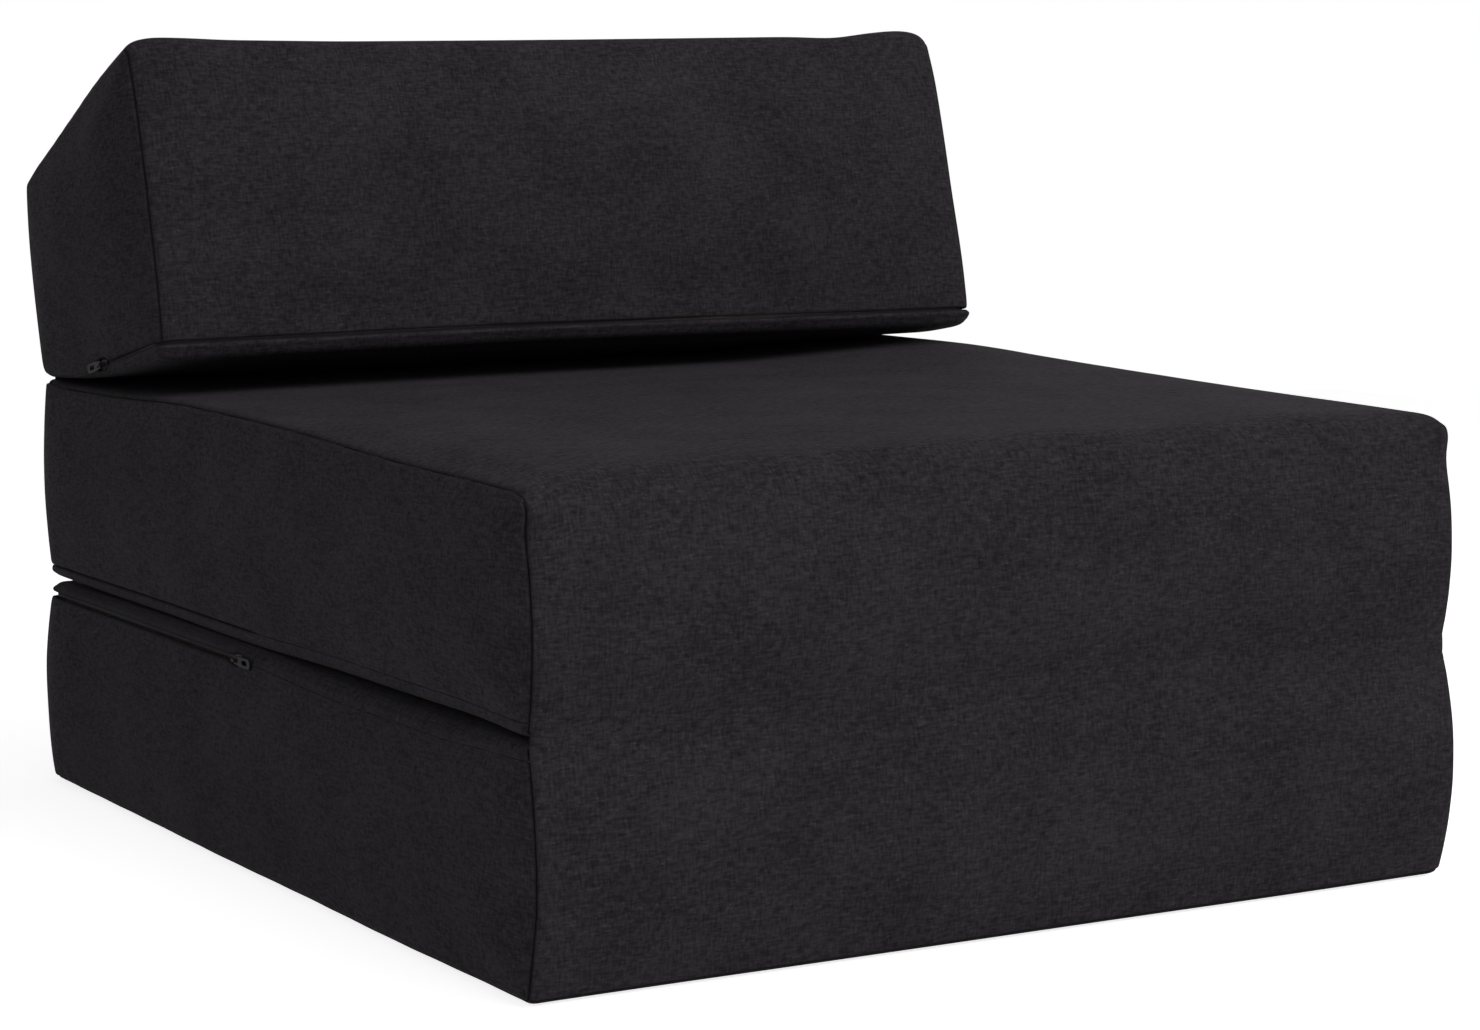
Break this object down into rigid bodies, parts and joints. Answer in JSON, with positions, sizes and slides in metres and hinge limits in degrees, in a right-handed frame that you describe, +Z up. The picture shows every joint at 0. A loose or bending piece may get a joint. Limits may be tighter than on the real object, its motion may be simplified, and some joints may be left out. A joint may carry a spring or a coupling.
{
  "type": "fold-out chair bed",
  "caption": "Low armless foam chair that unfolds into a single mattress: stacked zipped foam blocks joined at the front fold, with a hinged wedge backrest.",
  "frame": {"origin": "on the floor, at the middle of the lower block's flat underside", "axes": "+Z up, -Y towards the front of the chair, +X to the right when seen from the front"},
  "size_m": [0.7005, 0.8852, 0.5778],
  "materials": {
    "upholstery": "matte",
    "foam": "matte",
    "zip_tape": "matte",
    "zip_coil": "satin",
    "zip_metal": "satin"
  },
  "bodies": {
    "base": {"base_foam": "foam", "base_top_panel": "upholstery", "base_front_panel": "upholstery", "base_rear_panel": "upholstery", "base_left_panel": "upholstery", "base_right_panel": "upholstery", "base_bottom_panel": "upholstery", "base_zip_tape": "zip_tape", "base_zip_coil": "zip_coil", "base_zip_stops": "zip_metal"},
    "base_slider": {"base_zip_slider": "zip_metal"},
    "base_puller": {"base_zip_puller": "zip_metal"},
    "seat": {"seat_foam": "foam", "seat_top_panel": "upholstery", "seat_bottom_panel": "upholstery", "seat_rear_panel": "upholstery", "seat_left_panel": "upholstery", "seat_right_panel": "upholstery", "seat_zip_tape": "zip_tape", "seat_zip_coil": "zip_coil", "seat_zip_stops": "zip_metal"},
    "seat_slider": {"seat_zip_slider": "zip_metal"},
    "seat_puller": {"seat_zip_puller": "zip_metal"},
    "backrest": {"backrest_foam": "foam", "backrest_band": "upholstery", "backrest_bottom_panel": "upholstery", "backrest_left_panel": "upholstery", "backrest_right_panel": "upholstery", "backrest_zip_tape": "zip_tape", "backrest_zip_coil": "zip_coil", "backrest_zip_stops": "zip_metal", "backrest_hinge_web": "upholstery"},
    "backrest_slider": {"backrest_zip_slider": "zip_metal"},
    "backrest_puller": {"backrest_zip_puller": "zip_metal"}
  },
  "joints": [
    {"name": "bed_fold", "type": "hinge", "parent": "base", "child": "seat", "pos_m": [0, -0.4355, 0.1603], "axis": [1, 0, 0], "range_deg": [0, 180]},
    {"name": "backrest_fold", "type": "hinge", "parent": "seat", "child": "backrest", "pos_m": [0, 0.4365, 0.3226], "axis": [-1, 0, 0], "range_deg": [0, 172], "deforming": ["backrest_hinge_web"]},
    {"name": "base_zip_slide", "type": "slide", "parent": "base", "child": "base_slider", "axis": [0, 1, 0], "range_m": [0, 0.37]},
    {"name": "base_puller_swing", "type": "hinge", "parent": "base_slider", "child": "base_puller", "pos_m": [-0.3474, 0.0288, 0.149], "axis": [0, 0, -1], "range_deg": [0, 180]},
    {"name": "seat_zip_slide", "type": "slide", "parent": "seat", "child": "seat_slider", "axis": [0, 1, 0], "range_m": [0, 0.39]},
    {"name": "seat_puller_swing", "type": "hinge", "parent": "seat_slider", "child": "seat_puller", "pos_m": [0.3474, 0.0108, 0.1716], "axis": [0, 0, 1], "range_deg": [0, 180]},
    {"name": "backrest_zip_slide", "type": "slide", "parent": "backrest", "child": "backrest_slider", "axis": [0, -0.9806, 0.1959], "range_m": [0, 0.09]},
    {"name": "backrest_puller_swing", "type": "hinge", "parent": "backrest_slider", "child": "backrest_puller", "pos_m": [-0.3482, 0.28382, 0.33767], "axis": [0, 0.1959, 0.9806], "range_deg": [0, 180]}
  ]
}
